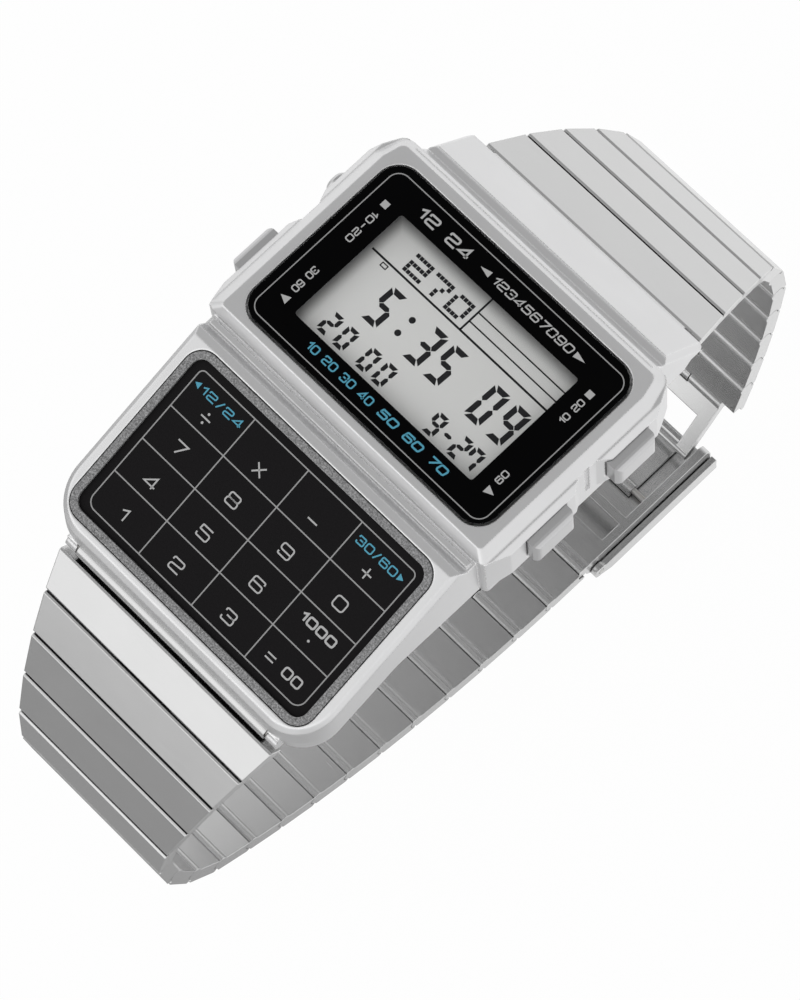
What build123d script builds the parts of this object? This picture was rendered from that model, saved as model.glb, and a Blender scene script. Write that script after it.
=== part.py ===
from build123d import *
import math
import os

os.makedirs("parts", exist_ok=True)

# Frame: origin on the outer face of the case back, under the display centre.
# +X towards 3 o'clock, +Y towards 12 o'clock, +Z out of the dial. Millimetres and degrees.

# One overrun for every cut, and the usual clearances
overrun = 6.0
seat_gap = 0.08
running_gap = 0.05
press_gap = 0.01

# Display window glass
glass_width = 28.86
glass_height = 18.98
glass_corner = 2.2
glass_thickness = 1.0
glass_top = 8.2
glass_edge_bevel = 0.15

# Display section of the case
case_half_width = 16.4
display_top_y = 11.5
display_foot_y = -10.95
display_corner = 1.3
display_foot_corner = 0.5
display_taper_inset = 0.9
display_taper_length = 3.0
facet_drop = 0.16
facet_side_width = 0.97
facet_end_width = 1.05
facet_foot_width = 0.81
facet_corner = 0.7
facet_foot_corner = 0.4
facet_taper_inset = 0.5
facet_taper_length = 2.0
shoulder_drop = 0.94
wall_foot_chamfer = 0.4

# Hood over the 12 o'clock strap end
hood_half_width = 14.0
hood_corner = 0.8
hood_side_round = 0.5
hood_root_y = 10.6
hood_break_y = 11.1
hood_break_z = 7.6
channel_start_y = 12.2
channel_end_y = 13.1
channel_z = 5.55
channel_depth = 0.12
hood_end_y = 17.1
hood_end_z = 1.3
hood_end_thickness = 0.4

# Neck with two grooves between the display and the keypad
neck_half_width = 15.35
groove_floor_z = 6.5
groove_mouth = 0.25
rib_y = -11.58
rib_z = 6.8
rib_width = 0.56
rib_side_slope = 0.08
bar_back_y = -12.05
bar_crest_y = -12.72
bar_crest_z = 7.38

# Keypad section, on a plane that falls towards 6 o'clock
keypad_y = -22.03
keypad_z = 3.955
keypad_tilt = 20.78
keypad_half_width = 15.62
keypad_facet_rise = 0.3
keypad_brow_y = -13.5
keypad_end_y = -31.55
keypad_end_chin = 0.15
keypad_end_wall = 2.1
keypad_corner = 4.1
keypad_edge_run = 0.45
keypad_edge_drop = 0.45
keypad_edge_round = 0.25
facet_match_angle = 1.0
belly_start_y = -13.0
belly_knee_y = -20.5
belly_knee_z = 0.2
belly_end_z = -3.5
belly_end_inset = 0.3

# Ring and film of the keypad
ring_width = 28.8
ring_height = 18.05
ring_corner = 1.9
ring_face = 0.72
ring_rise = 0.34
ring_seat = 0.5
ring_edge_round = 0.1
film_lip = 0.3
film_thickness = 0.25

# Rubber mat with sixteen domes
mat_edge_gap = 0.3
mat_thickness = 0.4
mat_pad_height = 0.68
mat_corner = 1.4
pad_columns = 4
pad_column_pitch = 6.42
pad_row_places = (5.53, 1.65, -2.01, -5.68)
pad_width = 4.8
pad_depth = 2.4
pad_corner = 0.6
pad_free = 0.02
pad_bevel_share = 0.25

# Side guards round the buttons: where each starts, is full, stops being full and ends
guard_reach = 0.7
guard_top_z = 7.1
guard_slope = 0.55
guard_foot_z = 1.5
guard_foot_slope = 0.6
guard_buried = 1.6
lower_guard_places = (-10.8, -8.5, -1.0, 0.0)
upper_guard_places = (2.0, 3.3, 8.8, 11.4)
seam_y = 1.0
seam_width = 0.5
seam_depth = 0.22
seam_foot_z = 2.2

# Push buttons
button_z = 4.6
button_upper_y = 5.1
button_lower_y = -4.4
button_round_y = 4.9
button_length = 4.55
button_height = 3.4
button_face_x = 18.3
button_root_x = 16.0
button_bevel_run = 0.85
button_bevel_fall = 0.8
button_round_radius = 1.2
button_round_face_x = 17.85
button_round_bevel = 0.3
button_gap = 0.1
button_travel = 0.6
stem_radius = 0.5
collar_radius = 0.8
collar_thickness = 0.3
collar_gap = 0.05
spring_pocket_radius = 1.2
spring_pocket_depth = 0.8
spring_coil_radius = 0.85
spring_wire_radius = 0.12
spring_turns = 3
seal_place_x = 13.3
seal_radius = 0.73
seal_cord_radius = 0.2
seal_groove_gap = 0.04

# Case back, its gasket and screws
back_width = 30.4
back_height = 21.8
back_corner = 1.5
back_thickness = 1.0
back_dish = 0.15
back_dish_margin = 3.4
gasket_inset_x = 2.2
gasket_inset_y = 1.3
gasket_corner = 1.65
gasket_cord = 0.5
gasket_thickness = 0.4
screw_inset = 1.0
screw_radius = 0.5
screw_length = 3.0
screw_head_radius = 0.85
screw_head_thickness = 0.45
screw_slot_width = 0.25
screw_slot_depth = 0.2

# Room inside the case
room_width = 24.8
room_height = 18.0
room_corner = 1.2
room_top_z = 6.5
window_width = 24.4
window_height = 16.4
window_corner = 0.8

# Display module
lcd_gap = 0.15
lcd_top_z = 6.95
lcd_thickness = 1.1
lcd_step = 1.6
lcd_glass_share = 0.5
module_gap = 0.2
module_foot_z = 1.5
module_corner = 1.0
module_rim = 1.4
board_width = 22.6
board_height = 16.8
board_z = 3.9
board_thickness = 0.4
board_pocket_gap = 0.04
board_corner = 0.5
tongue_half_width = 7.6
tongue_thickness = 0.3
tongue_top_share = 0.88
tongue_bottom_share = 0.9
tongue_gap = 0.05
stem_notch_radius = 1.0
stem_notch_depth = 0.9
chip_size = 6.4
chip_thickness = 0.7
chip_x = -3.2
chip_y = 0.6
chip_pin_count = 7
chip_pin_width = 0.3
chip_pin_reach = 0.5
chip_pin_height = 0.25
crystal_radius = 0.7
crystal_length = 5.6
crystal_x = 6.4
crystal_y = -2.2
crystal_cap = 0.2
strip_length = 19.0
strip_width = 0.9
battery_radius = 8.0
battery_thickness = 1.6
battery_lid_radius = 6.9
battery_lid_step = 0.3
battery_x = -3.4
battery_y = 0.2
battery_gap = 0.12
strap_width = 3.2
strap_thickness = 0.2
strap_margin = 0.6
strap_hole_radius = 0.5
buzzer_radius = 3.9
buzzer_thickness = 0.2
buzzer_margin = 0.9

# Spring bars and strap ears
upper_bar_y = 16.75
upper_bar_z = -0.2
lower_bar_y = -31.4
lower_bar_z = -2.8
bar_radius = 0.6
bar_tip_radius = 0.35
bar_tip_length = 0.9
tube_half_width = 11.4
tube_wall = 0.22
ear_gap = 0.2
ear_width = 1.2
ear_radius = 0.75
tube_room = 0.28

# Bracelet links
link_pitch = 4.4
link_face = 1.1
link_floor = 0.45
link_seam = 0.15
link_edge_bevel = 0.16
pin_radius = 0.4
knuckle_radius = 0.7
relief_radius = 0.78
knuckle_half_width = 3.2
knuckle_side_gap = 0.12
web_top = 0.05
lip_groove_upper = 0.5
lip_groove_lower = 0.24

# Path of each bracelet side: first pin, first heading below the horizontal, turn at each pin
upper_start_y = 17.5
upper_start_z = -1.9
upper_heading = 34.8
upper_turns = (0.0,) + (6.6,) * 3 + (14.4,) * 3 + (2.7,) * 4
upper_end_half_width = 12.85
upper_last_half_width = 8.8
lower_start_y = -31.8
lower_start_z = -3.7
lower_heading = 44.0
lower_turns = (0.0,) + (6.3,) * 3 + (16.5,) * 5 + (3.3,) * 10
lower_end_half_width = 12.95
lower_last_half_width = 8.75
link_taper = 0.92

# Clasp: the frame lies level, measured from its first pin towards 12 o'clock and down from the pins
clasp_turn = 1.6
frame_half_width = 8.6
frame_wall = 0.9
frame_length = 16.8
frame_block_start = 0.3
frame_block_length = 3.0
frame_top = 0.6
frame_depth = 2.8
frame_block_slope = 1.2
strap_bridge_s = 6.0
strap_bridge_width = 0.9
strap_bridge_thickness = 0.45
flap_half_width = 9.3
flap_gap = 0.1
flap_thickness = 0.5
flap_start = 3.4
flap_flange_height = 2.3
flap_hinge_s = 1.6
flap_hinge_n = 1.6
flap_hinge_radius = 0.8
flap_edge_round = 0.3
clasp_pin_radius = 0.3
catch_bar_s = 15.1
catch_bar_n = 0.2
catch_bar_radius = 0.5
catch_half_width = 7.3
catch_arm_thickness = 0.86
catch_arm_width = 1.4
catch_sheet_length = 2.2
lever_pivot_s = 9.5
lever_pivot_n = 2.05
lever_barrel_radius = 0.6
lever_half_width = 5.6
lever_thickness = 0.45
lever_top_n = 2.2
lever_hook_gap = 0.35
lever_hook_width = 0.5
lever_hook_tip_n = 1.75
lever_tail = 0.6

parts = {}


def rad(angle):
    return math.radians(angle)


def slab(width, height, corner, low, high, x=0, y=0):
    """Rounded rectangle between two heights."""
    outline = RectangleRounded(width, height, corner)
    return extrude(Pos(x, y, low) * outline, high - low)


def rod(radius, x, y, low, high):
    """Upright cylinder between two heights."""
    return extrude(Pos(x, y, low) * Circle(radius), high - low)


def side_prism(points, half_width):
    """Outline in Y and Z, carried the same way to both sides of the middle."""
    outline = make_face(Polyline(*points, close=True))
    return extrude(Plane.YZ * outline, half_width, both=True)


def cross_rod(radius, y, z, x_low, x_high):
    """Cylinder along X between two places."""
    place = Plane(origin=(x_low, y, z), z_dir=(1, 0, 0))
    return extrude(place * Circle(radius), x_high - x_low)


def mirrored(shape):
    """The shape and its mirror image across the middle plane."""
    return shape + mirror(shape, Plane.YZ)


def keypad_plane(rise=0):
    """Plane of the keypad film's top, or one that stands off it."""
    tilt = rad(keypad_tilt)
    normal = (0, -math.sin(tilt), math.cos(tilt))
    origin = (0, keypad_y + rise * normal[1], keypad_z + rise * normal[2])
    return Plane(origin=origin, x_dir=(1, 0, 0), z_dir=normal)


def keypad_point(along, rise):
    """Y and Z of a place given along the keypad's fall and off its film."""
    tilt = rad(keypad_tilt)
    y = keypad_y + along * math.cos(tilt) - rise * math.sin(tilt)
    z = keypad_z + along * math.sin(tilt) + rise * math.cos(tilt)
    return y, z


def keypad_slab(width, height, corner, low, high):
    """Rounded rectangle on the keypad plane, between two rises."""
    outline = RectangleRounded(width, height, corner)
    return extrude(keypad_plane(low) * outline, high - low)


def facet_height_at(y):
    """Height of the keypad section's top facet above a place in Y."""
    slope = math.tan(rad(keypad_tilt))
    return keypad_z + (y - keypad_y) * slope + keypad_facet_rise / math.cos(rad(keypad_tilt))


# Case body

def display_outline(half_width, foot_y, top_y, taper, corner, foot_corner):
    """Outline that narrows towards 12 o'clock. Taper is its inset and its length."""
    inset, length = taper
    points = [
        (-half_width, foot_y),
        (half_width, foot_y),
        (half_width, top_y - length),
        (half_width - inset, top_y),
        (inset - half_width, top_y),
        (-half_width, top_y - length),
    ]
    outline = make_face(Polyline(*points, close=True))
    outline = fillet(outline.vertices().group_by(Axis.Y)[-1], corner)
    return fillet(outline.vertices().group_by(Axis.Y)[0], foot_corner)


def wall_outline():
    return display_outline(case_half_width, display_foot_y, display_top_y,
                           (display_taper_inset, display_taper_length), display_corner, display_foot_corner)


def display_block():
    top_z = glass_top - facet_drop
    shoulder_z = top_z - shoulder_drop
    wall = extrude(wall_outline(), shoulder_z)
    wall = chamfer(wall.edges().group_by(Axis.Z)[0], wall_foot_chamfer)
    facet = display_outline(glass_width / 2 + facet_side_width, -glass_height / 2 - facet_foot_width,
                            glass_height / 2 + facet_end_width, (facet_taper_inset, facet_taper_length),
                            facet_corner, facet_foot_corner)
    return wall + loft([Pos(0, 0, shoulder_z) * wall_outline(), Pos(0, 0, top_z) * facet])


def hood():
    """Cover over the strap end: a slope down from the display, a flat channel and the sloped hood."""
    underside_z = hood_end_z - hood_end_thickness
    inner_y = upper_bar_y - bar_radius - running_gap - tube_wall - tube_room
    points = [
        (hood_root_y, 0),
        (inner_y - hood_corner, 0),
        (inner_y, underside_z),
        (hood_end_y, underside_z),
        (hood_end_y, hood_end_z),
        (channel_end_y, channel_z),
        (channel_end_y - channel_depth, channel_z - channel_depth),
        (channel_start_y + channel_depth, channel_z - channel_depth),
        (channel_start_y, channel_z),
        (hood_break_y, hood_break_z),
        (hood_root_y, hood_break_z),
    ]
    body = side_prism(points, hood_half_width)
    rims = body.edges().filter_by(lambda e: abs(e.center().X) > hood_half_width - seat_gap)
    slope_middle_y = (channel_end_y + hood_end_y) / 2
    slope_rims = rims.filter_by(lambda e: abs(e.center().Y - slope_middle_y) < seat_gap)
    slope_rims = slope_rims.filter_by(lambda e: e.center().Z > hood_end_z)
    return chamfer(slope_rims, hood_side_round)


def neck():
    groove_y = display_foot_y - groove_mouth
    rib_front = rib_y + rib_width / 2
    rib_back = rib_y - rib_width / 2
    points = [
        (display_foot_y + groove_mouth, 0),
        (display_foot_y + groove_mouth, groove_floor_z),
        (groove_y, groove_floor_z),
        (rib_front, rib_z),
        (rib_back, rib_z),
        (rib_back - rib_side_slope, groove_floor_z),
        (bar_back_y, groove_floor_z),
        (bar_back_y, 0),
    ]
    return side_prism(points, neck_half_width)


def keypad_block():
    end_top = keypad_end_y, facet_height_at(keypad_end_y)
    end_low = keypad_end_y - keypad_end_chin, end_top[1] - keypad_end_wall
    belly_end_y = end_low[0] + belly_end_inset
    points = [
        (display_foot_y, 0),
        (belly_start_y, 0),
        (belly_knee_y, belly_knee_z),
        (belly_end_y, belly_end_z),
        end_low,
        end_top,
        (keypad_brow_y, facet_height_at(keypad_brow_y)),
        (bar_crest_y, bar_crest_z),
        (bar_back_y, groove_floor_z),
        (display_foot_y, groove_floor_z),
    ]
    body = side_prism(points, keypad_half_width)
    end_edges = body.edges().filter_by(lambda e: e.center().Y < belly_end_y)
    corners = end_edges.filter_by(lambda e: abs(e.center().X) > keypad_half_width - seat_gap)
    body = fillet(corners, keypad_corner)
    facet = keypad_facet(body)
    rim = facet.edges().filter_by(lambda e: e.center().Y < keypad_brow_y - seat_gap)
    body = chamfer(rim, keypad_edge_drop, keypad_edge_run, reference=facet)
    rim = keypad_facet(body).edges().filter_by(lambda e: e.center().Y < keypad_brow_y - seat_gap)
    return fillet(rim, keypad_edge_round)


def keypad_facet(body):
    """Top face of the keypad section."""
    facing = math.cos(rad(keypad_tilt + facet_match_angle))
    return body.faces().filter_by(lambda f: f.normal_at().Z > facing).sort_by(SortBy.AREA)[-1]


def guard(places):
    """Raised side rail round a button, with sloped ends and edges."""
    start, full_start, full_end, end = places
    inner = case_half_width - guard_buried
    outer = case_half_width + guard_reach
    plan = [
        (inner, start),
        (case_half_width, start),
        (outer, full_start),
        (outer, full_end),
        (case_half_width, end),
        (inner, end),
    ]
    section = [
        (inner, guard_foot_z),
        (outer - guard_foot_slope, guard_foot_z),
        (outer, guard_foot_z + guard_foot_slope),
        (outer, guard_top_z - guard_slope),
        (outer - guard_slope, guard_top_z),
        (inner, guard_top_z),
    ]
    rail = extrude(make_face(Polyline(*plan, close=True)), glass_top)
    profile = make_face(Polyline(*section, close=True))
    rail = rail & extrude(Plane.XZ * profile, 2 * display_top_y, both=True)
    taper = display_taper_inset + guard_reach, display_taper_length
    reach = display_outline(outer, display_foot_y, display_top_y, taper, display_corner, display_foot_corner)
    return rail & extrude(reach, glass_top)


def ears(bar_y, bar_z, lift, back):
    """Pair of ears that hold a spring bar, with the block that joins them to the case."""
    low = tube_half_width + ear_gap
    high = low + ear_width
    round_end = cross_rod(ear_radius, bar_y, bar_z, low, high)
    length = abs(back) + ear_radius
    block = Box(ear_width, length, lift + ear_radius)
    block = Pos((low + high) / 2, bar_y + back / 2, bar_z + lift / 2) * block
    return mirrored(round_end + block)


def tube_slot(bar_y, bar_z, outward, depth):
    """Room that the end link's tube turns in."""
    half = tube_half_width + ear_gap
    radius = bar_radius + running_gap + tube_wall + tube_room
    turn = cross_rod(radius, bar_y, bar_z, -half, half)
    mouth = Pos(0, bar_y + outward * overrun / 2, bar_z - depth / 2 + radius / 2)
    return turn + mouth * Box(2 * half, overrun, depth + radius)


def case_room():
    recess = slab(back_width + 2 * seat_gap, back_height + 2 * seat_gap, back_corner,
                  -overrun, back_thickness)
    room = slab(room_width, room_height, room_corner, 0, room_top_z)
    window = slab(window_width, window_height, window_corner, 0, glass_top)
    seat_low = glass_top - glass_thickness
    seat = slab(glass_width + 2 * seat_gap, glass_height + 2 * seat_gap, glass_corner + seat_gap,
                seat_low, glass_top + overrun)
    return recess + room + window + seat


def gasket_ring(extra=0):
    gasket_width = back_width - 2 * gasket_inset_x
    gasket_height = back_height - 2 * gasket_inset_y
    outer = RectangleRounded(gasket_width + gasket_cord + extra, gasket_height + gasket_cord + extra,
                             gasket_corner + gasket_cord / 2)
    inner = RectangleRounded(gasket_width - gasket_cord - extra, gasket_height - gasket_cord - extra,
                             gasket_corner - gasket_cord / 2)
    return extrude(Pos(0, 0, back_thickness) * (outer - inner), gasket_thickness)


def screw_places():
    x = back_width / 2 - screw_inset
    y = back_height / 2 - screw_inset
    return [(side * x, end * y) for side in (-1, 1) for end in (-1, 1)]


def screw_holes(radius, low, high):
    return [rod(radius, x, y, low, high) for x, y in screw_places()]


def keypad_pocket():
    """Seat of the ring, the mat's well, and the slot that the board's tongue comes through."""
    seat = keypad_slab(ring_width + 2 * seat_gap, ring_height + 2 * seat_gap, ring_corner + seat_gap,
                       -ring_seat, overrun)
    well_width = ring_width - 2 * ring_face
    well_height = ring_height - 2 * ring_face
    well_floor = film_thickness + mat_pad_height + mat_thickness + tongue_thickness + 2 * tongue_gap
    well = keypad_slab(well_width, well_height, mat_corner, -well_floor, overrun)
    return seat + well + tongue_slot()


def tongue_line():
    """Top line of the board's tongue, from the module to the foot of the keypad."""
    well_half = ring_height / 2 - ring_face
    rise = -(film_thickness + mat_pad_height + mat_thickness + tongue_gap)
    board_top = board_z + board_thickness
    return [
        (-board_height / 2 + board_corner, board_top),
        (-room_height / 2 - module_gap, board_top),
        keypad_point(well_half * tongue_top_share, rise),
        keypad_point(-well_half * tongue_bottom_share, rise),
    ]


def tongue_slot():
    line = tongue_line()
    slack = tongue_thickness
    start_y = -room_height / 2 + overrun / 2
    points = [
        (start_y, line[1][1] + slack),
        (line[1][0], line[1][1] + slack),
        (line[2][0], line[2][1] + slack),
        (line[2][0], line[2][1] - 2 * tongue_thickness),
        (line[1][0], line[1][1] - 2 * slack),
        (start_y, line[1][1] - 2 * slack),
    ]
    return side_prism(points, tongue_half_width + slack)


def button_sites():
    """Side, place in Y and whether the button is the small round one."""
    return {
        "button_right_upper": (1, button_upper_y, False),
        "button_right_lower": (1, button_lower_y, False),
        "button_left_upper": (-1, button_round_y, True),
        "button_left_lower": (-1, button_lower_y, False),
    }


def on_side(shape, side):
    return shape if side > 0 else mirror(shape, Plane.YZ)


def button_opening(side, y, is_round):
    """Pocket for the cap, the spring's counterbore, the stem's bore and the seal's groove."""
    floor_x = button_root_x - button_travel - button_gap
    outside = button_face_x + overrun
    if is_round:
        pocket = cross_rod(button_round_radius + button_gap, y, button_z, floor_x, outside)
    else:
        length = button_length + 2 * button_gap
        height = button_height + 2 * button_gap
        pocket = Pos((floor_x + outside) / 2, y, button_z) * Box(outside - floor_x, length, height)
    spring_room = cross_rod(spring_pocket_radius, y, button_z, floor_x - spring_pocket_depth, outside)
    bore = cross_rod(stem_radius + running_gap, y, button_z, 0, outside)
    groove_half = seal_cord_radius + seal_groove_gap
    groove = cross_rod(seal_radius + seal_cord_radius + seal_groove_gap, y, button_z,
                       seal_place_x - groove_half, seal_place_x + groove_half)
    return on_side(pocket + spring_room + bore + groove, side)


def seam():
    """Upright groove in the wall between the two guards."""
    x = case_half_width - seam_depth / 2 + overrun / 2
    height = guard_top_z - seam_foot_z
    return mirrored(Pos(x, seam_y, seam_foot_z + height / 2) * Box(seam_depth + overrun, seam_width, height))


def case_body():
    body = display_block() + hood() + neck() + keypad_block()
    body += mirrored(guard(lower_guard_places)) + mirrored(guard(upper_guard_places))
    body -= tube_slot(lower_bar_y, lower_bar_z, -1, overrun)
    body += ears(upper_bar_y, upper_bar_z, ear_radius, -ear_radius)
    body += ears(lower_bar_y, lower_bar_z, ear_radius, ear_radius)
    for y, z in ((upper_bar_y, upper_bar_z), (lower_bar_y, lower_bar_z)):
        reach = tube_half_width + ear_gap + bar_tip_length
        body -= cross_rod(bar_tip_radius + press_gap, y, z, -reach, reach)
    body -= case_room() + gasket_ring(2 * press_gap)
    body -= keypad_pocket()
    body -= seam()
    for hole in screw_holes(screw_radius + press_gap, 0, screw_length + seat_gap):
        body -= hole
    for site in button_sites().values():
        body -= button_opening(*site)
    return body


# Front and keypad

def display_glass():
    low = glass_top - glass_thickness
    glass = slab(glass_width, glass_height, glass_corner, low, glass_top)
    return chamfer(glass.edges().group_by(Axis.Z)[-1], glass_edge_bevel)


def film_size():
    """Width and height of the film, which reaches under the ring's lip."""
    spread = 2 * (film_lip - ring_face)
    return ring_width + spread, ring_height + spread


def keypad_ring():
    ring = keypad_slab(ring_width, ring_height, ring_corner, -ring_seat, ring_rise)
    ring = fillet(ring.faces().sort_by(Axis.Z)[-1].edges(), ring_edge_round)
    opening_corner = ring_corner - ring_face
    ring -= keypad_slab(ring_width - 2 * ring_face, ring_height - 2 * ring_face, opening_corner,
                        -overrun, overrun)
    width, height = film_size()
    return ring - keypad_slab(width + 2 * press_gap, height + 2 * press_gap, opening_corner + film_lip,
                              -overrun, 0)


def keypad_film():
    width, height = film_size()
    return keypad_slab(width, height, ring_corner - ring_face + film_lip, -film_thickness, 0)


def key_mat():
    width = ring_width - 2 * ring_face - 2 * mat_edge_gap
    height = ring_height - 2 * ring_face - 2 * mat_edge_gap
    top = -film_thickness - pad_free
    sheet_top = -film_thickness - mat_pad_height
    mat = keypad_slab(width, height, mat_corner, sheet_top - mat_thickness, sheet_top)
    pad = extrude(RectangleRounded(pad_width, pad_depth, pad_corner), top - sheet_top)
    pad = chamfer(pad.edges().group_by(Axis.Z)[-1], (top - sheet_top) * pad_bevel_share)
    for column in range(pad_columns):
        x = (column - (pad_columns - 1) / 2) * pad_column_pitch
        for y in pad_row_places:
            mat += keypad_plane(sheet_top) * Pos(x, y, 0) * pad
    return mat


# Display module

def lcd_panel():
    width = window_width - 2 * lcd_gap
    height = window_height - 2 * lcd_gap
    low = lcd_top_z - lcd_thickness
    middle = low + lcd_thickness * lcd_glass_share
    front = slab(width, height - lcd_step, window_corner / 2, middle, lcd_top_z)
    return front + slab(width, height, window_corner / 2, low, middle)


def lcd_connectors():
    low = board_z + board_thickness
    high = lcd_top_z - lcd_thickness
    y = (room_height - strip_width) / 2 - module_gap - module_rim - running_gap
    strips = [
        Pos(0, side * y, (low + high) / 2) * Box(strip_length, strip_width, high - low)
        for side in (-1, 1)
    ]
    return Compound(children=strips)


def module_frame():
    width = room_width - 2 * module_gap
    height = room_height - 2 * module_gap
    top = lcd_top_z - lcd_thickness
    frame = slab(width, height, module_corner, module_foot_z, top)
    gap = board_pocket_gap
    frame -= slab(board_width + 2 * gap, board_height + 2 * gap, board_corner, board_z - gap,
                  board_z + board_thickness + gap)
    frame -= slab(width - 2 * module_rim, height - 2 * module_rim, board_corner, board_z, top + overrun)
    cell_top = module_foot_z + battery_thickness + battery_gap
    frame -= rod(battery_radius + battery_gap, battery_x, battery_y, 0, cell_top)
    frame -= tongue_slot()
    for side, y, is_round in button_sites().values():
        inner = width / 2 - stem_notch_depth
        frame -= on_side(cross_rod(stem_notch_radius, y, button_z, inner, width), side)
    return frame


def circuit_board():
    board = slab(board_width, board_height, board_corner, board_z, board_z + board_thickness)
    line = tongue_line()
    under = [(y, z - tongue_thickness) for y, z in reversed(line)]
    return board + side_prism(line + under, tongue_half_width)


def controller_chip():
    low = board_z + board_thickness
    body = Pos(chip_x, chip_y, low + chip_thickness / 2) * Box(chip_size, chip_size, chip_thickness)
    for index in range(chip_pin_count):
        y = chip_y + (index - (chip_pin_count - 1) / 2) * chip_size / chip_pin_count
        length = chip_size + 2 * chip_pin_reach
        body += Pos(chip_x, y, low + chip_pin_height / 2) * Box(length, chip_pin_width, chip_pin_height)
    return body


def quartz_crystal():
    z = board_z + board_thickness + crystal_radius
    half = crystal_length / 2
    place = Plane(origin=(crystal_x, crystal_y - half, z), z_dir=(0, 1, 0))
    can = extrude(place * Circle(crystal_radius), crystal_length)
    return chamfer(can.edges().group_by(Axis.Y)[-1], crystal_cap)


def battery():
    low = module_foot_z + press_gap
    can = rod(battery_radius, battery_x, battery_y, low + battery_lid_step, low + battery_thickness)
    return can + rod(battery_lid_radius, battery_x, battery_y, low, low + battery_thickness)


def battery_strap():
    length = room_width - 2 * module_gap - 2 * strap_margin
    low = module_foot_z - strap_thickness
    strap = slab(length, strap_width, strap_width / 2 - strap_margin, low, module_foot_z, y=battery_y)
    for side in (-1, 1):
        x = side * (length - strap_width) / 2
        strap -= rod(strap_hole_radius, x, battery_y, 0, module_foot_z + overrun)
    return strap


def buzzer_x():
    return room_width / 2 - buzzer_radius - buzzer_margin


def buzzer_disc():
    return rod(buzzer_radius, buzzer_x(), 0, back_thickness, back_thickness + buzzer_thickness)


# Case back

def case_back():
    plate = slab(back_width, back_height, back_corner, 0, back_thickness)
    dish_width = back_width - 2 * back_dish_margin
    dish_height = back_height - 2 * back_dish_margin
    plate -= slab(dish_width, dish_height, back_corner, back_thickness - back_dish, back_thickness)
    plate += rod(buzzer_radius, buzzer_x(), 0, back_thickness - back_dish, back_thickness)
    for hole in screw_holes(screw_radius + seat_gap, -overrun, overrun):
        plate -= hole
    for sink in screw_holes(screw_head_radius + seat_gap, -overrun, screw_head_thickness):
        plate -= sink
    return plate


def back_gasket():
    return gasket_ring()


def case_back_screws():
    screws = []
    for x, y in screw_places():
        screw = rod(screw_head_radius, x, y, 0, screw_head_thickness)
        screw += rod(screw_radius, x, y, 0, screw_length)
        slot = Pos(x, y, 0) * Box(2 * screw_head_radius, screw_slot_width, 2 * screw_slot_depth)
        screws.append(screw - slot)
    return Compound(children=screws)


# Buttons

def button(side, y, is_round):
    if is_round:
        cap = cross_rod(button_round_radius, y, button_z, button_root_x, button_round_face_x)
        cap = chamfer(cap.edges().group_by(Axis.X)[-1], button_round_bevel)
    else:
        middle = (button_root_x + button_face_x) / 2
        cap = Pos(middle, y, button_z) * Box(button_face_x - button_root_x, button_length, button_height)
        face = cap.faces().sort_by(Axis.X)[-1]
        cap = chamfer(face.edges(), button_bevel_run, button_bevel_fall, reference=face)
    room_wall = room_width / 2
    collar_outer = room_wall - collar_gap
    collar_inner = collar_outer - collar_thickness
    stem = cross_rod(stem_radius, y, button_z, collar_inner, button_root_x)
    collar = cross_rod(collar_radius, y, button_z, collar_inner, collar_outer)
    return on_side(cap + stem + collar, side)


def button_springs():
    """Return coils between each cap and the floor of its counterbore."""
    low = button_root_x - button_travel - button_gap - spring_pocket_depth + spring_wire_radius
    high = button_root_x - spring_wire_radius
    coils = []
    for side, y, is_round in button_sites().values():
        path = Helix(pitch=(high - low) / spring_turns, height=high - low, radius=spring_coil_radius)
        start = Plane(origin=path @ 0, z_dir=path % 0)
        coil = sweep(start * Circle(spring_wire_radius), path=path)
        place = Plane(origin=(low, y, button_z), z_dir=(1, 0, 0))
        coils.append(on_side(place * coil, side))
    return Compound(children=coils)


def button_seals():
    seals = []
    for side, y, is_round in button_sites().values():
        place = Plane(origin=(seal_place_x, y, button_z), z_dir=(1, 0, 0))
        seals.append(on_side(place * Torus(seal_radius, seal_cord_radius), side))
    return Compound(children=seals)


# Bracelet path

def pin_path(start, heading, turns, sense):
    """Pins and headings of one bracelet side. Sense is 1 where the path turns anticlockwise."""
    y, z = start
    angle = heading
    pins = [start]
    headings = []
    for turn in turns:
        angle += sense * turn
        y += link_pitch * math.cos(rad(angle))
        z += link_pitch * math.sin(rad(angle))
        pins.append((y, z))
        headings.append(angle)
    return pins, headings


def upper_path():
    return pin_path((upper_start_y, upper_start_z), -upper_heading, upper_turns, -1)


def lower_path():
    return pin_path((lower_start_y, lower_start_z), 180 + lower_heading, lower_turns, 1)


def link_plane(pin, heading, sense):
    """Local frame of a link: X towards its far pin, Y outwards, Z across the bracelet."""
    along = (0, math.cos(rad(heading)), math.sin(rad(heading)))
    return Plane(origin=(0, pin[0], pin[1]), x_dir=along, z_dir=(-sense, 0, 0))


def to_local(point, pin, heading, sense):
    """A place in Y and Z, given along and outwards from a link's first pin."""
    dy = point[0] - pin[0]
    dz = point[1] - pin[1]
    cosine = math.cos(rad(heading))
    sine = math.sin(rad(heading))
    return dy * cosine + dz * sine, sense * (dy * sine - dz * cosine)


def half_widths(first, last, count):
    """Half width at each pin: it shrinks by a steady taper until it reaches the last value."""
    return [max(last, first - link_taper * index) for index in range(count + 1)]


# Bracelet links, in their local frame

def local_prism(points, half_width):
    return extrude(make_face(Polyline(*points, close=True)), half_width, both=True)


def local_rod(radius, u, w, half_width):
    return extrude(Pos(u, w, 0) * Circle(radius), half_width, both=True)


def side_rods(radius, u, w, inner, outer):
    """Two cylinders, one on each side, that leave the middle free."""
    rods = Pos(0, 0, inner) * extrude(Pos(u, w, 0) * Circle(radius), outer - inner)
    return rods + mirror(rods, Plane.XY)


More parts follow.
